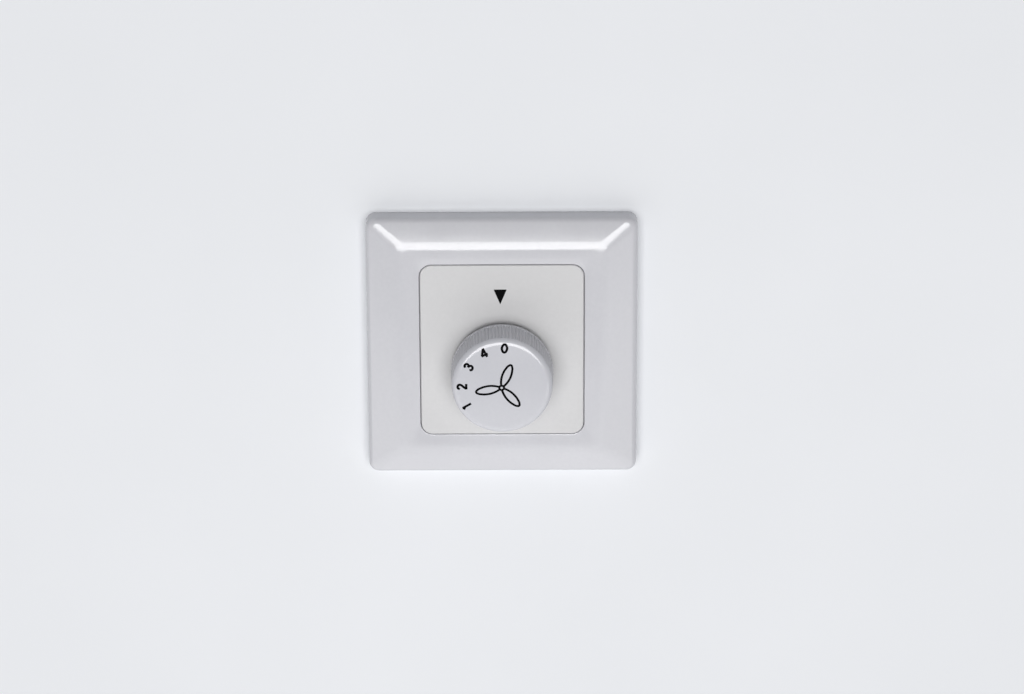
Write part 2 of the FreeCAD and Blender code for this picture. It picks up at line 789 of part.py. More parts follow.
def housing_base():
    z = (HOUSING_BACK, COVER_BACK)
    blank = rounded_block("base_blank", S.housing_side, S.housing_side, S.housing_corner, z)
    half = S.clamp_width / 2 + S.slide
    tail = (FLOOR - S.tail_length - S.slide, FLOOR)
    tools = [
        cylinder("chamber", S.chamber_radius, (FLOOR, COVER_BACK), 0, -S.shaft_drop),
        cylinder("tail_hole", S.tail_radius + S.running, tail, 0, -S.shaft_drop),
    ]
    for number in range(CLAMPS):
        middle = clamp_across(number)
        ends = (S.clamp_start - S.slide, S.clamp_start + S.clamp_length + S.slide)
        depth = (CLAMP_BACK - S.slide, COVER_BACK)
        tools.append(box("pocket", (middle - half, middle + half), ends, depth))
        wire = cylinder("wire_hole", S.wire_radius, (0, S.housing_side / 2))
        wire.Placement = FreeCAD.Placement(V(), FreeCAD.Rotation(V(1, 0, 0), -90))
        bind(wire, Placement__Base__x=middle, Placement__Base__y=ends[0] + S.clamp_wall)
        bind(wire, Placement__Base__z=STRIP_TOP + S.wire_radius)
        tools.append(wire)
        reach = (HOUSING_BACK, CLAMP_BACK)
        place = (middle, S.clamp_start + S.clamp_length / 2)
        tools.append(cylinder("screw_way", S.terminal_head_radius + S.slide, reach, *place))
        tools += strip_route(number, S.slide, (FLOOR, STRIP_TOP + S.slide))[0]
    tap = (COVER_BACK - S.screw_length, COVER_BACK)
    tools += drilled("screw_tap", S.screw_radius + S.running, tap, screw_places())
    tools += drilled("claw_way", S.claw_screw_radius + S.slide, z, CLAW_PLACES)
    tools += [claw_channel(side) for side in (-1, 1)]
    along = (S.stop_inner_radius, S.chamber_radius + S.slide)
    height = (ROTOR_BACK, WHEEL_BACK - S.slide)
    stops = [bar("stop", angle, along, S.stop_width, height) for angle in stop_angles()]
    shelf_inner = S.spring_centre - S.spring_thick
    shelf_half = S.spring_half_length
    shelf_top = WHEEL_BACK + S.slide
    shelf = box(
        "spring_shelf",
        (shelf_inner, S.chamber_radius),
        (-shelf_half, shelf_half),
        (shelf_top - S.shelf_thick, shelf_top),
    )
    ribs = join("ribs", shelf, *stops)
    bind(ribs, Placement__Base__y=-S.shaft_drop)
    stand(join("housing_base", cut("base_cut", blank, *tools), ribs), "housing_base")


def screw(name, x, y, radius, head_radius, seat, head, tip):
    """Slotted screw along z: its head runs from seat to head, and its shank from seat to tip."""
    low, high = in_order(seat, head)
    ends = in_order(seat, tip)
    blank = join(
        name + "_blank",
        cylinder(name + "_head", head_radius, (low, high), x, y),
        cylinder(name + "_shank", radius, ends, x, y),
    )
    half = S.drive_slot / 2
    floor = head - S.drive_depth if head.value > seat.value else head + S.drive_depth
    depth = in_order(floor, head)
    across = (as_size(x) - head_radius, as_size(x) + head_radius)
    return cut(name, blank, box(name + "_slot", across, (as_size(y) - half, as_size(y) + half), depth))


def housing_screws():
    seat = S.support_thick
    tip = COVER_BACK - S.screw_length + S.slide
    sizes = (S.screw_radius, S.screw_head_radius, seat, seat + S.screw_head_height, tip)
    screws = [screw("housing_screw", x, y, *sizes) for x, y in screw_places()]
    stand(group("housing_screws", screws), "housing_screws")


# Detent, rotor and wiper

def spindle_bore(name, z):
    """Hole with a flat that fits the spindle's rear end."""
    round_hole = cylinder(name + "_round", BORE, z)
    flat = box(name + "_flat", (S.spindle_flat + S.running, BORE + S.slide), (-BORE, BORE), z)
    return cut(name, round_hole, flat)


def detent_wheel():
    z = (WHEEL_BACK, WHEEL_FRONT)
    count = round(360 / S.step_angle.value)
    notches = []
    for number in range(count):
        angle = number * S.step_angle
        place = (S.notch_centre * cosine(angle), S.notch_centre * sine(angle))
        notches.append(cylinder("notch", S.notch_radius, z, *place))
    disc = cylinder("wheel_disc", S.wheel_radius, z)
    wheel = cut("detent_wheel", disc, spindle_bore("wheel_bore", z), *notches)
    stand(wheel, "detent_wheel", -S.shaft_drop)


def detent_spring():
    """Leaf across the chamber's side whose bump lies in a notch of the wheel."""
    z = (WHEEL_BACK + S.slide, WHEEL_BACK + S.slide + S.spring_width)
    half = S.spring_thick / 2
    leaf = box(
        "spring_leaf",
        (S.spring_centre - half, S.spring_centre + half),
        (-S.spring_half_length, S.spring_half_length),
        z,
    )
    bump = cylinder("spring_bump", S.bump_radius, z, S.notch_centre, 0)
    web = box("spring_web", (S.notch_centre, S.spring_centre), (-S.bump_radius, S.bump_radius), z)
    stand(join("detent_spring", leaf, bump, web), "detent_spring", -S.shaft_drop)


def stake_places():
    """Where the rotor's two stakes hold the wiper, square to its arms."""
    angle = S.wiper_angle + 90
    x, y = S.stake_centre * cosine(angle), S.stake_centre * sine(angle)
    return [(x, y), (-x, -y)]


def rotor():
    z = (ROTOR_BACK, WHEEL_BACK)
    lug = bar(
        "stop_lug",
        S.wiper_angle + 90,
        (S.rotor_radius - S.lug_width, S.lug_radius),
        S.lug_width,
        (ROTOR_BACK + S.slide, ROTOR_BACK + S.slide + S.lug_thick),
    )
    stakes = drilled("stake", S.stake_radius, (ROTOR_BACK - S.stake_height, ROTOR_BACK), stake_places())
    drum = join("rotor_drum", cylinder("drum", S.rotor_radius, z), lug, *stakes)
    stand(cut("rotor", drum, spindle_bore("rotor_bore", z)), "rotor", -S.shaft_drop)


def wiper_arm(name, angle, centre, touch):
    """Spring arm bent down to a dome that rides at a level."""
    flat = (ROTOR_BACK - S.wiper_thick, ROTOR_BACK)
    end = centre + S.wiper_overhang
    foot = (touch + S.dome_height, touch + S.dome_height + S.wiper_thick)
    inner = centre - S.wiper_overhang
    place = (centre * cosine(angle), centre * sine(angle))
    return [
        bar(name + "_flat", angle, (S.common_inner, end), S.wiper_width, flat),
        bar(name + "_leg", angle, (end - S.wiper_thick, end), S.wiper_width, (foot[0], flat[1])),
        bar(name + "_foot", angle, (inner, end), S.wiper_width, foot),
        cylinder(name + "_dome", S.dome_radius, (touch, foot[1]), *place),
    ]


def wiper():
    z = (ROTOR_BACK - S.wiper_thick, ROTOR_BACK)
    ring_middle = (S.common_inner + S.common_outer) / 2
    arms = wiper_arm("speed_arm", S.wiper_angle, S.contact_circle, STRIP_TOP + S.button_height + S.free)
    arms += wiper_arm("common_arm", S.wiper_angle + 180, ring_middle, STRIP_TOP + S.free)
    strip = join("wiper_strip", cylinder("wiper_disc_blank", S.wiper_disc, z), *arms)
    holes = drilled("stake_hole", S.stake_radius + S.running, z, stake_places())
    hole = cylinder("wiper_hole", BORE + S.slide, (FLOOR, ROTOR_BACK))
    stand(cut("wiper", strip, hole, *holes), "wiper", -S.shaft_drop)


# Contacts and terminals

def common_contact():
    z = (FLOOR, STRIP_TOP)
    route = strip_route(0, as_size(0), z)[0]
    ring = cylinder("common_disc", S.common_outer, z, 0, -S.shaft_drop)
    hole = cylinder("common_hole", S.common_inner, z, 0, -S.shaft_drop)
    stand(cut("common_contact", join("common_blank", ring, *route), hole), "common_contact")


def speed_contact(number, label):
    z = (FLOOR, STRIP_TOP)
    route, place = strip_route(number, as_size(0), z)
    pad = cylinder("contact_pad", S.pad_radius, z, *place)
    button = cylinder("contact_button", S.button_radius, (FLOOR, STRIP_TOP + S.button_height), *place)
    stand(join(label, pad, button, *route), label)


def clamp(number, label):
    """Terminal cage that holds a strip and a wire under its screw."""
    middle = clamp_across(number)
    half = S.clamp_width / 2
    ends = (S.clamp_start, S.clamp_start + S.clamp_length)
    top = CLAMP_BACK + S.clamp_height
    block = box("clamp_block", (middle - half, middle + half), ends, (CLAMP_BACK, top))
    mouth = half - S.clamp_wall
    seat = CLAMP_BACK + S.clamp_base
    window = box("clamp_window", (middle - mouth, middle + mouth), ends, (seat, top - S.clamp_wall))
    place = (middle, S.clamp_start + S.clamp_length / 2)
    thread = cylinder("clamp_thread", S.terminal_screw_radius + S.running, (CLAMP_BACK, seat), *place)
    stand(cut(label, block, window, thread), label)


def terminal_screws():
    seat = CLAMP_BACK - S.slide
    sizes = (S.terminal_screw_radius, S.terminal_head_radius)
    levels = (seat, seat - S.terminal_head_height, FLOOR - S.free)
    screws = []
    for number in range(CLAMPS):
        place = (clamp_across(number), S.clamp_start + S.clamp_length / 2)
        screws.append(screw("terminal_screw", *place, *sizes, *levels))
    stand(group("terminal_screws", screws), "terminal_screws")


# Spreading claws: each is drawn on the right and placed on either side

def side_profile(name, points, width):
    """Solid with an outline in x and z, and a width centred on y = 0."""
    body = doc.addObject("PartDesign::Body", name)
    sketch = add_outline(new_sketch(body, name + "_side", "XZ_Plane"), points)
    feature = body.newObject("PartDesign::Pad", name + "_pad")
    feature.Profile = sketch
    feature.Midplane = True
    bind(feature, Length=width)
    doc.recompute()
    return body


CLAW_BACK = -S.claw_start
RAMP_SLOPE = sine(S.ramp_angle) / cosine(S.ramp_angle)


def claw_channel(side):
    """Room in the housing for a claw and its nut; two ribs beside the nut are the ramp."""
    out = S.housing_side / 2 + S.slide
    back = HOUSING_BACK - S.slide
    foot = CLAW_BACK - S.slide
    ramp_end = foot + (out - S.channel_floor) / RAMP_SLOPE
    outline = [
        (side * S.channel_floor, back),
        (side * S.channel_floor, foot),
        (side * out, ramp_end),
        (side * out, back),
    ]
    wide = side_profile("claw_channel", outline, S.claw_width + 2 * S.slide)
    half = S.claw_nut_side / 2 + S.slide
    floor = S.claw_across - half
    stop = CLAW_BACK + S.claw_travel + S.claw_thick + S.slide
    x = in_order(side * floor, side * out)
    straight = box("nut_channel", x, (-half, half), (back, stop))
    channel = join("claw_room", wide, straight)
    return bind(channel, Placement__Base__y=-S.claw_drop)


def claw(side, label):
    """Forked steel claw: a tongue behind the ramp, and a leg with a turned-out toothed tip."""
    thick = S.claw_thick
    inner = S.channel_floor + S.slide + S.slide * RAMP_SLOPE
    leg = S.claw_across + S.claw_reach
    front = CLAW_BACK + S.claw_leg
    tip = leg + S.claw_lean + S.claw_tip
    outline = [
        (side * inner, CLAW_BACK),
        (side * (leg + thick), CLAW_BACK),
        (side * (leg + thick + S.claw_lean), front - thick),
        (side * (tip + thick), front),
        (side * (tip + thick), front + thick),
        (side * (leg + S.claw_lean), front),
        (side * leg, CLAW_BACK + thick),
        (side * (inner + thick * RAMP_SLOPE), CLAW_BACK + thick),
    ]
    blank = side_profile(label + "_blank", outline, S.claw_width)
    half = S.claw_screw_radius + S.slide
    fork_end = S.claw_across + half
    x = in_order(side * (inner - S.slide), side * fork_end)
    fork = box(label + "_fork", x, (-half, half), (CLAW_BACK, CLAW_BACK + thick))
    teeth = []
    x = in_order(side * (leg + S.claw_lean + thick), side * (tip + 2 * thick))
    z = (front - thick, front + 2 * thick)
    tooth = S.claw_width / 5
    for place in (-1, 1):
        y = (place * tooth - tooth / 2, place * tooth + tooth / 2)
        teeth.append(box(label + "_notch", x, y, z))
    stand(cut(label, blank, fork, *teeth), label, -S.claw_drop)


def claw_nut(side, label):
    half = S.claw_nut_side / 2
    front = CLAW_BACK - S.running
    z = (front - S.claw_nut_thick, front)
    block = box(label + "_block", (-half, half), (-half, half), z)
    bore = cylinder(label + "_bore", S.claw_screw_radius + S.running, z)
    stand(cut(label, block, bore), label, -S.claw_drop, side * S.claw_across)


def claw_screw(side, label):
    seat = S.support_thick
    tip = CLAW_BACK - S.claw_nut_thick - S.claw_thick
    solid = screw(label, 0, 0, S.claw_screw_radius, S.claw_head_radius, seat, seat + S.claw_head_height, tip)
    stand(solid, label, -S.claw_drop, side * S.claw_across)


def check_and_export():
    """Refuse a broken document, then write each piece to its own file."""
    doc.recompute()
    for item in doc.Objects:
        if "Invalid" in item.State or "Error" in item.State:
            raise RuntimeError(f"{item.Name} is in state {item.State}")
    for piece in PIECES:
        if piece.Shape.isNull() or not piece.Shape.isValid():
            raise RuntimeError(f"{piece.Label} has no valid shape")
    os.makedirs("parts", exist_ok=True)
    for piece in PIECES:
        piece.Shape.exportStep(f"parts/{piece.Label}.step")


cover_frame()
centre_plate()
plate_nut()
speed_knob()
knob_clip()
spindle()
retaining_ring()
threaded_neck()
support_plate()
housing_cover()
housing_base()
housing_screws()
detent_wheel()
detent_spring()
rotor()
wiper()
common_contact()
clamp(0, "clamp_common")
for turn in range(1, DIMENSIONS["steps"] + 1):
    speed = DIMENSIONS["steps"] + 1 - turn
    speed_contact(turn, f"speed_contact_{speed}")
    clamp(turn, f"clamp_{speed}")
terminal_screws()
for hand, word in ((-1, "left"), (1, "right")):
    claw(hand, f"claw_{word}")
    claw_nut(hand, f"claw_nut_{word}")
    claw_screw(hand, f"claw_screw_{word}")
check_and_export()
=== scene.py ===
"""Looks of the fan speed switch: cover frame, printed knob, finishes, light and camera."""
import json
import math

import bmesh
import bpy
from mathutils import Matrix, Quaternion, Vector


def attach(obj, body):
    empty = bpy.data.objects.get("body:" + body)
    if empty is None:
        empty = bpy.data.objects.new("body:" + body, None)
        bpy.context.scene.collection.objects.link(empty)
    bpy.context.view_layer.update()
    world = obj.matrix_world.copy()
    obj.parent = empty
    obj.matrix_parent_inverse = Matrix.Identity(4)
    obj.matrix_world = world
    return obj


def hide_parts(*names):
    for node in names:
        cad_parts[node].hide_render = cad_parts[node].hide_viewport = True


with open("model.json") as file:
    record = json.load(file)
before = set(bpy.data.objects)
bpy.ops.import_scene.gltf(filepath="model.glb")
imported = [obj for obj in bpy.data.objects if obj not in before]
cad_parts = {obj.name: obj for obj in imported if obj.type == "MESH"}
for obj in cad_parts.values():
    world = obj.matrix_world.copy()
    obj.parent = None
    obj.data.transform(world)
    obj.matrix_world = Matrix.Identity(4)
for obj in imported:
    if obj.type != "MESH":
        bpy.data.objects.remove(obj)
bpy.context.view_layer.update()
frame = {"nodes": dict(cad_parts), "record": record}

MM = 0.001

# Cover frame, in millimetres: level is the distance out from the wall
FRAME_SIDE = 82.0
FRAME_CORNER = 3.0
FRAME_HEIGHT = 9.6
RIM_HEIGHT = 6.6
RIM_BELOW, RIM_ABOVE = 1.51, 0.47
RIDGE_SIZE = (61.4, 66.4)
RIDGE_CORNER = 2.6
RIDGE_DROP = 0.55
OPENING_SIZE = (50.0, 55.0)
OPENING_CORNER = 3.8
LIP_ROUND = 0.3
CORNER_STEPS = 14
RIM_STEPS, RIDGE_STEPS, LIP_STEPS = 8, 10, 4
# Rings round the inside and the back, from the opening to the wall: plan size, corner radius, level
FRAME_BACK = [
    (OPENING_SIZE, OPENING_CORNER, 7.2),
    ((46.0, 51.0), 1.8, 7.2),
    ((46.0, 51.0), 1.8, 4.6),
    ((53.6, 58.6), 5.6, 4.6),
    ((53.6, 58.6), 5.6, 7.6),
    ((61.4, 66.4), 3.0, 7.6),
    ((61.4, 66.4), 3.0, 6.1),
    ((71.7, 74.2), 3.0, 6.1),
    ((71.7, 74.2), 3.0, 4.6),
    ((78.0, 78.0), 3.0, 4.6),
    ((78.0, 78.0), 3.0, 0.0),
]

# Wall behind the frame, in millimetres, with an opening that the frame covers
WALL_SIDE = 5000.0
WALL_OPENING = 81.6
WALL_LEVEL = -0.1
WALL_SHADE, WALL_PALE = (0.838, 0.853, 0.882), (0.862, 0.876, 0.906)

# How far a print stands out from its face, in millimetres
INK_THICK = 0.03

# Knob, in millimetres from its axis and from its rear edge
KNOB_AXIS_Z = -6.1
KNOB_REAR_LEVEL = 12.2
KNOB_RADII = (15.6, 15.15)
KNOB_HEIGHT = 12.2
KNOB_FACE = KNOB_HEIGHT - INK_THICK
KNOB_EDGE_ROUND = 2.1
KNOB_EDGE_STEPS = 10
KNOB_CHAMFER = 0.35
KNOB_HOLLOW = (13.15, 10.4)
KNOB_WELD = 0.0005
HUB_RADIUS = 5.2
HUB_REAR = 1.3
HUB_BORE = (3.06, 9.9)

# Flutes round the knob: two points on each land and one in the valley
KNOB_FLUTES = 90
FLUTE_POINTS = 3
KNOB_LAND = 0.19
KNOB_FLUTE_DEPTH = 0.35
KNOB_FLUTE_ENDS = (1.3, 10.6)
FLUTE_END = 0.12

# Print on the knob's face: strokes of a pen, turns clockwise from the top, distances from the middle
PRINT_LEVEL = KNOB_REAR_LEVEL + KNOB_FACE
PEN_ROUND_STEPS, PEN_LINE_STEPS = 3, 8
PEN_WELD = 0.001
DIGIT_PEN = 0.74
DIGIT_STROKES = {
    "0": [
        ("BEZIER", True, [(0, 1.28), (0.66, 0.62), (0.66, -0.62), (0, -1.28), (-0.66, -0.62), (-0.66, 0.62)]),
    ],
    "1": [("POLY", False, [(-0.5, 0.92), (0.16, 1.46)]), ("POLY", False, [(0.14, 1.52), (0.14, -1.4)])],
    "2": [
        ("BEZIER", False, [
            (-0.68, 0.66), (-0.4, 1.2), (0.1, 1.3), (0.68, 0.95), (0.62, 0.35), (0, -0.42), (-0.62, -1.2),
        ]),
        ("POLY", False, [(-0.8, -1.26), (0.95, -1.26)]),
    ],
    "3": [
        ("BEZIER", False, [
            (-0.66, 0.74), (-0.35, 1.22), (0.15, 1.28), (0.58, 0.86), (0.4, 0.3), (-0.2, 0.1),
        ]),
        ("BEZIER", False, [
            (-0.2, 0.1), (0.48, -0.1), (0.7, -0.66), (0.3, -1.2), (-0.3, -1.26), (-0.72, -0.74),
        ]),
    ],
    "4": [
        ("POLY", False, [(0.4, -1.5), (0.4, 1.5)]),
        ("POLY", False, [(0.4, 1.34), (-0.94, -0.66)]),
        ("POLY", False, [(-1.1, -0.64), (1.02, -0.64)]),
    ],
}
DIGIT_PLACES = {
    "0": (3.5, 12.25),
    "4": (-27.0, 12.05),
    "3": (-57.8, 11.85),
    "2": (-90.4, 12.05),
    "1": (-120.8, 12.25),
}
SIGN_PEN = 0.68
SIGN_MIDDLE = (-0.16, -0.42)
BLADE_TURNS = (21.2, 138.0, 260.0)
BLADE_OUTLINE = [
    (0.4, 0.62), (0.86, 1.75), (1.2, 3.2), (1.26, 4.6), (1.04, 6.1), (0.56, 7.35), (0.0, 7.8),
    (-0.56, 7.35), (-1.04, 6.1), (-1.26, 4.6), (-1.2, 3.2), (-0.86, 1.75), (-0.4, 0.62),
]
HUB_OUTLINE = [(0.0, 0.7), (0.7, 0.0), (0.0, -0.7), (-0.7, 0.0)]

# Pointer on the plate, in millimetres: a triangle of radius 1 is sqrt(3) wide and 1.5 high
PLATE_LEVEL = 9.5
POINTER_WIDTH, POINTER_HEIGHT = 3.95, 4.8
POINTER_SCALE = (POINTER_WIDTH / math.sqrt(3), POINTER_HEIGHT / 1.5, 1)
POINTER_TURN = math.radians(180)
POINTER_PLACE = (-0.5, 17.9, 0)
POINTER_ROUND = 0.12
POINTER_ROUND_STEPS = 3

# Patterns of the finishes, in repeats per metre
PLASTIC_CLOUD, PLASTIC_SPECK = 60.0, 900.0
METAL_CLOUD = 140.0
INK_DOTS = 2500.0
WALL_CLOUD, WALL_GRAIN = 9.0, 420.0

# Camera fitted to the photo: sensor and lens in millimetres, distances in metres, angles in degrees
CAMERA_SENSOR = 36.0
CAMERA_LENS = 137.9
CAMERA_CLIP = (0.05, 20.0)
CAMERA_LIFT = 20.78
CAMERA_ROLL = 0.23
CAMERA_TARGET = (0.0030, 0, -0.00265)
CAMERA_DISTANCE = 1.1996


# Mesh helpers

def piece_from(bm, name, finish, body, sharp=35.0):
    """Turn a bmesh drawn in millimetres into a piece that rides on a body of the part."""
    bmesh.ops.scale(bm, vec=(MM, MM, MM), verts=bm.verts)
    mesh = bpy.data.meshes.new(name)
    bm.to_mesh(mesh)
    bm.free()
    for face in mesh.polygons:
        face.use_smooth = True
    mesh.set_sharp_from_angle(angle=math.radians(sharp))
    piece = bpy.data.objects.new(name, mesh)
    bpy.context.scene.collection.objects.link(piece)
    mesh.materials.append(finish)
    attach(piece, body)
    return piece


def curve_between(start, corner, end, steps):
    """Points of a soft bend that leaves start towards corner and runs into end."""
    points = []
    for step in range(steps + 1):
        u = step / steps
        points.append(tuple(
            (1 - u) ** 2 * a + 2 * u * (1 - u) * b + u * u * c for a, b, c in zip(start, corner, end)
        ))
    return points


def plan_point(place, size, corner):
    """Where a numbered vertex stands on a rectangle with round corners."""
    quarter, step = divmod(place, CORNER_STEPS + 1)
    turn = math.radians(90 * (quarter + step / CORNER_STEPS))
    right = 1 if quarter in (0, 3) else -1
    up = 1 if quarter in (0, 1) else -1
    x = right * (size[0] / 2 - corner) + corner * math.cos(turn)
    z = up * (size[1] / 2 - corner) + corner * math.sin(turn)
    return x, z


def first_ring(bm, size, corner, level):
    """Start from a ring of numbered vertices: a rectangle with round corners, at a level."""
    count = 4 * (CORNER_STEPS + 1)
    numbers = bm.verts.layers.int.new("place")
    ring = bmesh.ops.create_circle(bm, cap_ends=False, radius=1, segments=count)["verts"]
    for place, vert in enumerate(sorted(ring, key=lambda v: math.atan2(v.co.y, v.co.x) % math.tau)):
        vert[numbers] = place
        x, z = plan_point(place, size, corner)
        vert.co = (x, -level, z)
    return list(bm.edges)


def next_ring(bm, edges, size, corner, level):
    """Draw a ring of edges out to another plan at another level."""
    numbers = bm.verts.layers.int["place"]
    drawn = bmesh.ops.extrude_edge_only(bm, edges=edges)["geom"]
    verts = {item for item in drawn if isinstance(item, bmesh.types.BMVert)}
    for vert in verts:
        x, z = plan_point(vert[numbers], size, corner)
        vert.co = (x, -level, z)
    return [e for e in drawn if isinstance(e, bmesh.types.BMEdge) and verts.issuperset(e.verts)]


def turned(bm, profile, steps):
    """Spin a profile of (radius, level) points round an axis that stands out from the wall."""
    verts = [bm.verts.new((radius, -level, 0)) for radius, level in profile]
    edges = [bm.edges.new(pair) for pair in zip(verts, verts[1:])]
    bmesh.ops.spin(
        bm, geom=verts + edges, cent=(0, 0, 0), axis=(0, 1, 0), angle=math.tau, steps=steps, use_merge=True
    )
    bmesh.ops.remove_doubles(bm, verts=bm.verts, dist=KNOB_WELD)
    bmesh.ops.recalc_face_normals(bm, faces=bm.faces)


# Finishes

def node(tree, kind, inputs=None, **settings):
    made = tree.nodes.new(kind)
    for key, value in settings.items():
        setattr(made, key, value)
    for key, value in (inputs or {}).items():
        if isinstance(value, bpy.types.NodeSocket):
            tree.links.new(value, made.inputs[key])
        else:
            made.inputs[key].default_value = value
    return made


def new_finish(name):
    """A material with its tree, its shader and the place on the piece that its patterns follow."""
    finish = bpy.data.materials.new(name)
    finish.use_nodes = True
    tree = finish.node_tree
    return finish, tree, tree.nodes["Principled BSDF"], node(tree, "ShaderNodeTexCoord").outputs["Object"]


def noise(tree, place, scale, detail=3.0, roughness=0.55):
    made = node(tree, "ShaderNodeTexNoise", {
        "Vector": place, "Scale": scale, "Detail": detail, "Roughness": roughness,
    })
    return made.outputs["Fac"]


def between(tree, amount, low, high, from_low=0.3, from_high=0.7):
    """Map a pattern's grey level to a range of values."""
    made = node(tree, "ShaderNodeMapRange", {
        "Value": amount, "From Min": from_low, "From Max": from_high, "To Min": low, "To Max": high,
    })
    return made.outputs["Result"]


def colour(tree, shader, amount, shade, pale):
    """Let a pattern mix the colour from a darker and a paler tone."""
    made = node(tree, "ShaderNodeMix", {0: amount, 6: (*shade, 1), 7: (*pale, 1)}, data_type="RGBA")
    tree.links.new(made.outputs[2], shader.inputs["Base Color"])


def relief(tree, shader, height, strength, depth_mm):
    made = node(tree, "ShaderNodeBump", {"Height": height, "Strength": strength, "Distance": depth_mm * MM})
    tree.links.new(made.outputs["Normal"], shader.inputs["Normal"])


def moulded_plastic(name, pale, shade, gloss, grain_mm, grain_depth_mm, specular=0.5):
    """A moulded plastic: faint clouding of the colour, a fine skin, and gloss that varies a little."""
    finish, tree, shader, place = new_finish(name)
    cloud = noise(tree, place, PLASTIC_CLOUD)
    speck = noise(tree, place, PLASTIC_SPECK, detail=2.0)
    mottled = node(tree, "ShaderNodeMath", {0: cloud, 1: speck}, operation="MULTIPLY")
    tone = between(tree, mottled.outputs["Value"], 0.0, 1.0, from_low=0.1, from_high=0.45)
    colour(tree, shader, tone, shade, pale)
    tree.links.new(between(tree, cloud, *gloss), shader.inputs["Roughness"])
    grain = noise(tree, place, 1.0 / (grain_mm * MM), detail=2.0)
    relief(tree, shader, grain, strength=0.6, depth_mm=grain_depth_mm)
    shader.inputs["Specular IOR Level"].default_value = specular
    shader.inputs["IOR"].default_value = 1.5
    return finish


def metal(name, pale, shade, gloss, streak, grain_mm, grain_depth_mm):
    """A bare or plated metal: cloudy in colour, with fine streaks in its gloss and relief."""
    finish, tree, shader, place = new_finish(name)
    stretched = node(tree, "ShaderNodeMapping", {"Vector": place, "Scale": streak}).outputs["Vector"]
    lines = noise(tree, stretched, 1.0 / (grain_mm * MM), detail=4.0, roughness=0.65)
    cloud = noise(tree, place, METAL_CLOUD, detail=4.0)
    colour(tree, shader, between(tree, cloud, 0.0, 1.0), shade, pale)
    tree.links.new(between(tree, lines, *gloss), shader.inputs["Roughness"])
    relief(tree, shader, lines, strength=0.35, depth_mm=grain_depth_mm)
    shader.inputs["Metallic"].default_value = 1.0
    return finish


def printing_ink(name, pale, shade, gloss):
    """A dull print: dark, with a fine dot in its colour and its skin."""
    finish, tree, shader, place = new_finish(name)
    dots = noise(tree, place, INK_DOTS, detail=2.0)
    colour(tree, shader, between(tree, dots, 0.0, 1.0), shade, pale)
    tree.links.new(between(tree, dots, *gloss), shader.inputs["Roughness"])
    shader.inputs["Specular IOR Level"].default_value = 0.02
    relief(tree, shader, dots, strength=0.3, depth_mm=0.01)
    return finish


FINISHES = {
    "frame_white": moulded_plastic(
        "gloss_white_frame", pale=(0.63, 0.63, 0.666), shade=(0.604, 0.604, 0.642),
        gloss=(0.12, 0.17), grain_mm=1.6, grain_depth_mm=0.003, specular=1.0,
    ),
    "knob_white": moulded_plastic(
        "gloss_white_knob", pale=(0.602, 0.605, 0.646), shade=(0.578, 0.581, 0.624),
        gloss=(0.13, 0.19), grain_mm=1.2, grain_depth_mm=0.003, specular=0.9,
    ),
    "plate_white": moulded_plastic(
        "satin_white_plate", pale=(0.66, 0.657, 0.664), shade=(0.632, 0.629, 0.636),
        gloss=(0.42, 0.54), grain_mm=0.32, grain_depth_mm=0.015, specular=0.45,
    ),
    "housing_grey": moulded_plastic(
        "grey_housing", pale=(0.2, 0.205, 0.21), shade=(0.15, 0.155, 0.16),
        gloss=(0.42, 0.58), grain_mm=0.5, grain_depth_mm=0.02,
    ),
    "rotor_black": moulded_plastic(
        "black_rotor", pale=(0.03, 0.03, 0.032), shade=(0.016, 0.016, 0.018),
        gloss=(0.35, 0.5), grain_mm=0.5, grain_depth_mm=0.01,
    ),
    "zinc_steel": metal(
        "zinc_plated_steel", pale=(0.68, 0.69, 0.7), shade=(0.54, 0.555, 0.57),
        gloss=(0.28, 0.46), streak=(1, 1, 6), grain_mm=0.5, grain_depth_mm=0.01,
    ),
    "screw_steel": metal(
        "bright_screw_steel", pale=(0.7, 0.69, 0.66), shade=(0.55, 0.54, 0.52),
        gloss=(0.22, 0.38), streak=(3, 1, 3), grain_mm=0.3, grain_depth_mm=0.006,
    ),
    "spindle_steel": metal(
        "drawn_spindle_steel", pale=(0.62, 0.62, 0.63), shade=(0.5, 0.5, 0.51),
        gloss=(0.2, 0.34), streak=(8, 1, 8), grain_mm=0.4, grain_depth_mm=0.004,
    ),
    "spring_steel": metal(
        "rolled_spring_steel", pale=(0.5, 0.52, 0.55), shade=(0.38, 0.4, 0.43),
        gloss=(0.2, 0.32), streak=(8, 8, 1), grain_mm=0.3, grain_depth_mm=0.004,
    ),
    "nut_brass": metal(
        "turned_brass", pale=(0.78, 0.6, 0.3), shade=(0.66, 0.48, 0.22),
        gloss=(0.22, 0.36), streak=(1, 8, 1), grain_mm=0.3, grain_depth_mm=0.006,
    ),
    "contact_brass": metal(
        "stamped_brass", pale=(0.8, 0.57, 0.29), shade=(0.66, 0.44, 0.2),
        gloss=(0.24, 0.4), streak=(6, 1, 1), grain_mm=0.4, grain_depth_mm=0.006,
    ),
}
PRINT_BLACK = printing_ink(
    "black_print", pale=(0.005, 0.005, 0.0055), shade=(0.002, 0.002, 0.0025), gloss=(0.5, 0.65)
)


def dress_carried_nodes():
    """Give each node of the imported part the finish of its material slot."""
    for entry in frame["record"]["subparts"]:
        mesh = frame["nodes"][entry["node"]].data
        for place in range(len(mesh.materials)):
            mesh.materials[place] = FINISHES[entry["material_slot"]]


# Pieces

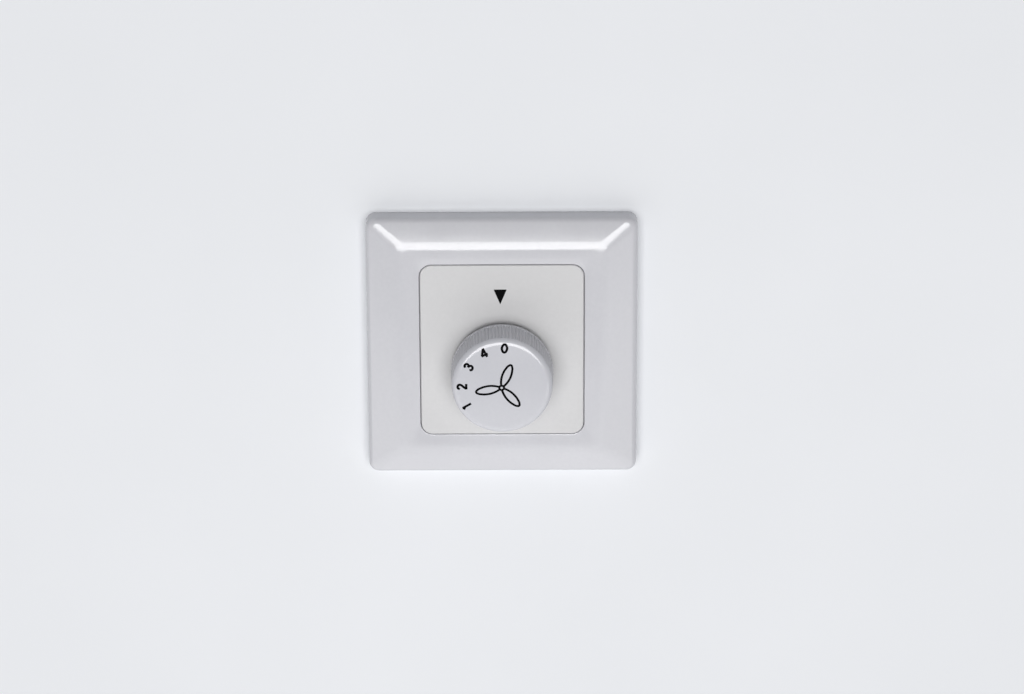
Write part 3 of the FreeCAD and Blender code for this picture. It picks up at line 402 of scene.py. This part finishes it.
def cover_frame():
    """The bevelled frame: rings drawn over the rim and ridge, into the opening and round the back."""
    rise = FRAME_HEIGHT - RIM_HEIGHT

    def on_bevel(share):
        """Plan size and corner at a share of the way in from the rim to the ridge."""
        size = tuple(FRAME_SIDE + share * (ridge - FRAME_SIDE) for ridge in RIDGE_SIZE)
        return size, FRAME_CORNER + share * (RIDGE_CORNER - FRAME_CORNER)

    bm = bmesh.new()
    side = (FRAME_SIDE, FRAME_SIDE)
    edges = first_ring(bm, side, FRAME_CORNER, 0)
    start = list(edges)
    rim = curve_between(
        (0, RIM_HEIGHT - RIM_BELOW), (0, RIM_HEIGHT), (RIM_ABOVE / rise, RIM_HEIGHT + RIM_ABOVE), RIM_STEPS
    )
    soft = RIDGE_DROP / rise
    ridge = curve_between(
        (1 - soft, FRAME_HEIGHT - RIDGE_DROP), (1, FRAME_HEIGHT), (1 + soft, FRAME_HEIGHT), RIDGE_STEPS
    )
    for share, level in rim + ridge:
        edges = next_ring(bm, edges, *on_bevel(share), level)
    lip = curve_between(
        (LIP_ROUND, FRAME_HEIGHT), (0, FRAME_HEIGHT), (0, FRAME_HEIGHT - LIP_ROUND), LIP_STEPS
    )
    for outward, level in lip:
        size = tuple(length + 2 * outward for length in OPENING_SIZE)
        edges = next_ring(bm, edges, size, OPENING_CORNER + outward, level)
    for size, corner, level in FRAME_BACK:
        edges = next_ring(bm, edges, size, corner, level)
    bmesh.ops.bridge_loops(bm, edges=edges + start)
    bmesh.ops.recalc_face_normals(bm, faces=bm.faces)
    piece = piece_from(bm, "cover_frame_shell", FINISHES["frame_white"], "base")
    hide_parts("cover_frame")


def speed_knob():
    """The knob, turned from a profile, with flutes pressed in between the ends of its side."""
    rear, front = KNOB_RADII

    def outside(height):
        return rear + (front - rear) * height / KNOB_HEIGHT

    below = KNOB_FACE - KNOB_EDGE_ROUND
    edge = curve_between(
        (outside(below), below),
        (outside(KNOB_FACE), KNOB_FACE),
        (outside(KNOB_FACE) - KNOB_EDGE_ROUND, KNOB_FACE),
        KNOB_EDGE_STEPS,
    )
    start, end = KNOB_FLUTE_ENDS
    hollow, ceiling = KNOB_HOLLOW
    bore, bore_end = HUB_BORE
    profile = [
        (0.0, bore_end),
        (bore, bore_end),
        (bore, HUB_REAR),
        (HUB_RADIUS, HUB_REAR),
        (HUB_RADIUS, ceiling),
        (hollow, ceiling),
        (hollow, 0.0),
        (outside(0) - KNOB_CHAMFER, 0.0),
        (outside(KNOB_CHAMFER), KNOB_CHAMFER),
        (outside(start), start),
        (outside(start + FLUTE_END), start + FLUTE_END),
        *edge,
        (0.0, KNOB_FACE),
    ]
    bm = bmesh.new()
    turned(bm, profile, FLUTE_POINTS * KNOB_FLUTES)
    pitch = math.tau / KNOB_FLUTES
    for vert in bm.verts:
        radius = math.hypot(vert.co.x, vert.co.z)
        height = -vert.co.y
        if radius < front - KNOB_FLUTE_DEPTH or not start + FLUTE_END / 2 < height < end:
            continue
        turn = math.atan2(vert.co.z, vert.co.x)
        place = round(turn / pitch * FLUTE_POINTS)
        flute, part = divmod(place, FLUTE_POINTS)
        land = KNOB_LAND / radius / 2
        turn = flute * pitch + (-land, land, pitch / 2)[part]
        if part == 2:
            radius -= KNOB_FLUTE_DEPTH
        vert.co.x, vert.co.z = radius * math.cos(turn), radius * math.sin(turn)
    bmesh.ops.translate(bm, vec=(0, -KNOB_REAR_LEVEL, KNOB_AXIS_Z), verts=bm.verts)
    piece = piece_from(bm, "fluted_knob", FINISHES["knob_white"], "knob", sharp=28.0)
    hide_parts("speed_knob")


def set_print(bm, name, level, body, turn=0.0, place=(0, 0)):
    """Stand a print drawn in x and y up against a face at a level, turned clockwise."""
    bmesh.ops.rotate(bm, cent=(0, 0, 0), matrix=Matrix.Rotation(-math.radians(turn), 3, "Z"), verts=bm.verts)
    bmesh.ops.rotate(bm, cent=(0, 0, 0), matrix=Matrix.Rotation(math.radians(90), 3, "X"), verts=bm.verts)
    bmesh.ops.translate(bm, vec=(place[0], -level, place[1]), verts=bm.verts)
    piece_from(bm, name, PRINT_BLACK, body)


def ink_strokes(name, strokes, width, turn, middle=(0, 0)):
    """Print on the knob's face: open or closed strokes of a pen, flattened to a skin of ink."""
    line = bpy.data.curves.new(name, "CURVE")
    line.dimensions = "3D"
    line.bevel_depth = width / 2
    line.bevel_resolution = PEN_ROUND_STEPS
    line.resolution_u = PEN_LINE_STEPS
    line.use_fill_caps = True
    for kind, closed, points in strokes:
        spline = line.splines.new(kind)
        if kind == "BEZIER":
            spline.bezier_points.add(len(points) - 1)
            for knot, (x, y) in zip(spline.bezier_points, points):
                knot.co = (x, y, 0)
                knot.handle_left_type = knot.handle_right_type = "AUTO"
        else:
            spline.points.add(len(points) - 1)
            for knot, (x, y) in zip(spline.points, points):
                knot.co = (x, y, 0, 1)
        spline.use_cyclic_u = closed
    holder = bpy.data.objects.new(name, line)
    bpy.context.scene.collection.objects.link(holder)
    flat = bpy.data.meshes.new_from_object(holder)
    bpy.data.objects.remove(holder)
    bpy.data.curves.remove(line)
    bm = bmesh.new()
    bm.from_mesh(flat)
    bpy.data.meshes.remove(flat)
    bmesh.ops.remove_doubles(bm, verts=bm.verts, dist=PEN_WELD)
    bmesh.ops.recalc_face_normals(bm, faces=bm.faces)
    bmesh.ops.scale(bm, vec=(1, 1, 2 * INK_THICK / width), verts=bm.verts)
    place = (middle[0], middle[1] + KNOB_AXIS_Z)
    set_print(bm, name, PRINT_LEVEL, "knob", turn, place)


def knob_digits():
    for digit, (turn, out) in DIGIT_PLACES.items():
        strokes = [
            (kind, closed, [(x, y + out) for x, y in points]) for kind, closed, points in DIGIT_STROKES[digit]
        ]
        ink_strokes("speed_digit_" + digit, strokes, DIGIT_PEN, turn)


def fan_sign():
    for number, turn in enumerate(BLADE_TURNS, start=1):
        ink_strokes(f"fan_blade_{number}", [("BEZIER", False, BLADE_OUTLINE)], SIGN_PEN, turn, SIGN_MIDDLE)
    ink_strokes("fan_hub", [("BEZIER", True, HUB_OUTLINE)], SIGN_PEN, 0.0, SIGN_MIDDLE)


def pointer_mark():
    bm = bmesh.new()
    bmesh.ops.create_cone(
        bm, cap_ends=True, cap_tris=False, segments=3, radius1=1, radius2=1, depth=2 * INK_THICK
    )
    bmesh.ops.rotate(bm, cent=(0, 0, 0), matrix=Matrix.Rotation(POINTER_TURN, 3, "Z"), verts=bm.verts)
    bmesh.ops.scale(bm, vec=POINTER_SCALE, verts=bm.verts)
    bmesh.ops.translate(bm, vec=POINTER_PLACE, verts=bm.verts)
    upright = [e for e in bm.edges if abs(e.verts[0].co.z - e.verts[1].co.z) > INK_THICK]
    bmesh.ops.bevel(
        bm, geom=upright, offset=POINTER_ROUND, affect="EDGES", segments=POINTER_ROUND_STEPS, profile=0.5,
        material=-1,
    )
    set_print(bm, "pointer_mark", PLATE_LEVEL, "base")


# Wall, light and camera

def wall():
    """A painted wall, open behind the frame where the wall box sits, and clear from behind."""
    bm = bmesh.new()
    edges = first_ring(bm, (WALL_OPENING, WALL_OPENING), FRAME_CORNER, WALL_LEVEL)
    next_ring(bm, edges, (WALL_SIDE, WALL_SIDE), FRAME_CORNER, WALL_LEVEL)
    bmesh.ops.reverse_faces(bm, faces=bm.faces)
    bmesh.ops.scale(bm, vec=(MM, MM, MM), verts=bm.verts)
    mesh = bpy.data.meshes.new("wall_face")
    bm.to_mesh(mesh)
    bm.free()
    face = bpy.data.objects.new("wall_face", mesh)
    bpy.context.scene.collection.objects.link(face)
    finish, tree, shader, place = new_finish("painted_wall")
    cloud = noise(tree, place, WALL_CLOUD)
    colour(tree, shader, between(tree, cloud, 0.0, 1.0), WALL_SHADE, WALL_PALE)
    shader.inputs["Roughness"].default_value = 0.85
    shader.inputs["Specular IOR Level"].default_value = 0.1
    relief(tree, shader, noise(tree, place, WALL_GRAIN), strength=0.2, depth_mm=0.1)
    clear = node(tree, "ShaderNodeBsdfTransparent")
    seen_from = node(tree, "ShaderNodeNewGeometry").outputs["Backfacing"]
    mixed = node(
        tree, "ShaderNodeMixShader", {0: seen_from, 1: shader.outputs["BSDF"], 2: clear.outputs["BSDF"]}
    )
    tree.links.new(mixed.outputs["Shader"], tree.nodes["Material Output"].inputs["Surface"])
    mesh.materials.append(finish)


def room_light(ambient, pale):
    """A weak light from all round, and a pale room where the camera or a reflection looks past the wall."""
    world = bpy.data.worlds.new("pale_room")
    bpy.context.scene.world = world
    world.use_nodes = True
    tree = world.node_tree
    soft = tree.nodes["Background"]
    soft.inputs["Color"].default_value = (0.98, 0.99, 1.0, 1)
    soft.inputs["Strength"].default_value = ambient
    seen = node(tree, "ShaderNodeBackground", {"Color": (*pale, 1), "Strength": 1.0})
    path = node(tree, "ShaderNodeLightPath")
    shown = path.outputs["Is Camera Ray"]
    for ray in ("Is Glossy Ray", "Is Transmission Ray"):
        shown = node(
            tree, "ShaderNodeMath", {0: shown, 1: path.outputs[ray]}, operation="MAXIMUM"
        ).outputs["Value"]
    mixed = node(
        tree, "ShaderNodeMixShader", {0: shown, 1: soft.outputs["Background"], 2: seen.outputs["Background"]}
    )
    tree.links.new(mixed.outputs["Shader"], tree.nodes["World Output"].inputs["Surface"])


def soft_lamp(name, place, aim, size, watts):
    lamp = bpy.data.lights.new(name, "AREA")
    lamp.shape = "RECTANGLE"
    lamp.size, lamp.size_y = size
    lamp.energy = watts
    holder = bpy.data.objects.new(name, lamp)
    holder.location = place
    holder.rotation_euler = (Vector(aim) - Vector(place)).to_track_quat("-Z", "Y").to_euler()
    holder.visible_camera = False
    bpy.context.scene.collection.objects.link(holder)


def camera():
    data = bpy.data.cameras.new("photo_camera")
    data.sensor_width = CAMERA_SENSOR
    data.lens = CAMERA_LENS
    data.clip_start, data.clip_end = CAMERA_CLIP
    holder = bpy.data.objects.new("photo_camera", data)
    lift = math.radians(CAMERA_LIFT)
    back = Vector((0, -math.cos(lift), math.sin(lift)))
    holder.location = Vector(CAMERA_TARGET) + CAMERA_DISTANCE * back
    holder.rotation_mode = "QUATERNION"
    roll = Quaternion((0, 0, 1), -math.radians(CAMERA_ROLL))
    holder.rotation_quaternion = (-back).to_track_quat("-Z", "Y") @ roll
    bpy.context.scene.collection.objects.link(holder)
    bpy.context.scene.camera = holder


dress_carried_nodes()
cover_frame()
speed_knob()
knob_digits()
fan_sign()
pointer_mark()
wall()
room_light(ambient=0.03, pale=(0.6, 0.605, 0.61))
soft_lamp("wide_front_panel", place=(0, -1.5, 0.145), aim=(0, 0, 0.145), size=(1.25, 0.89), watts=18.0)
soft_lamp("low_wide_panel", place=(-0.1, -0.8, -1.08), aim=(0, 0, 0), size=(3.0, 1.6), watts=14.0)
soft_lamp("behind_softbox", place=(0.45, 1.0, 0.55), aim=(0, 0.01, 0), size=(1.6, 1.6), watts=9.0)
soft_lamp("behind_low_softbox", place=(-0.7, 0.8, -0.2), aim=(0, 0.01, 0), size=(1.4, 1.4), watts=6.0)
camera()
bpy.context.scene.view_settings.view_transform = "Standard"
